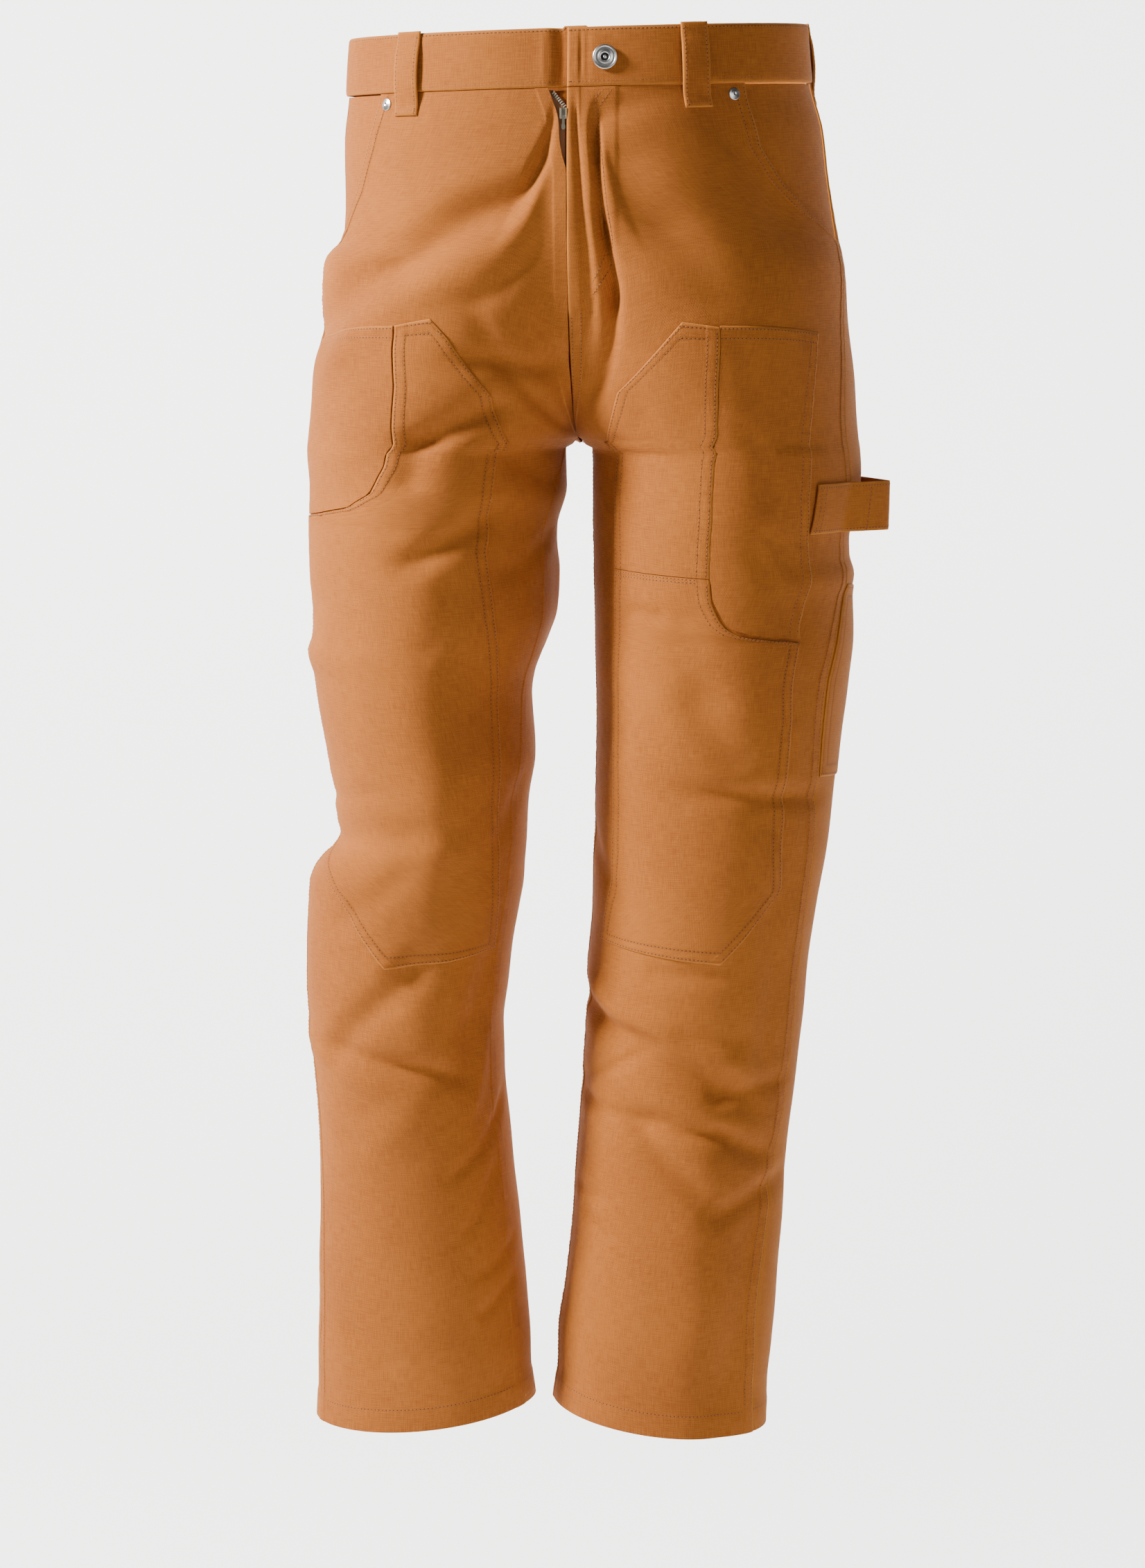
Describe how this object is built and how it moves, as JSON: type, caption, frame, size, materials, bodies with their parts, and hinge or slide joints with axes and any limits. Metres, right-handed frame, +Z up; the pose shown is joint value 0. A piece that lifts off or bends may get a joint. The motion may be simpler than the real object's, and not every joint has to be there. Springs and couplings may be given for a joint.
{
  "type": "trousers",
  "caption": "Work trousers in canvas with double-front knee patches, scoop pockets, hammer loop and tool pocket, open and hollow in their worn form",
  "frame": {"origin": "centre of the waist at the level of the waistband's top edge, where the trousers are held", "axes": "+Z up, the front faces -Y, +X is the wearer's left"},
  "size_m": [0.4433, 0.2733, 1.0696],
  "materials": {
    "canvas": "matte",
    "tape": "matte",
    "nickel": "satin",
    "zip_metal": "satin"
  },
  "bodies": {
    "trousers": {"waistband": "canvas", "front_right": "canvas", "front_left": "canvas", "back_right": "canvas", "back_left": "canvas", "pocket_facing_right": "canvas", "pocket_facing_left": "canvas", "knee_patch_right": "canvas", "thigh_inlay_right": "canvas", "knee_patch_left_upper": "canvas", "knee_patch_left_lower": "canvas", "thigh_pocket_left": "canvas", "tool_pocket": "canvas", "hammer_loop": "canvas", "belt_loop_1": "canvas", "belt_loop_2": "canvas", "belt_loop_3": "canvas", "belt_loop_4": "canvas", "belt_loop_5": "canvas", "fly_shield": "canvas", "zip_tape_right": "tape", "zip_tape_left": "tape", "zip_slider": "zip_metal", "button": "nickel", "rivet_right": "nickel", "rivet_left": "nickel"},
    "pull_tab": {"pull_tab": "zip_metal"}
  },
  "joints": [
    {"name": "pull_tab_hinge", "type": "hinge", "parent": "trousers", "child": "pull_tab", "pos_m": [-0.0024, -0.12406, -0.06695], "axis": [-1, 0, 0], "range_deg": [0, 90]}
  ]
}
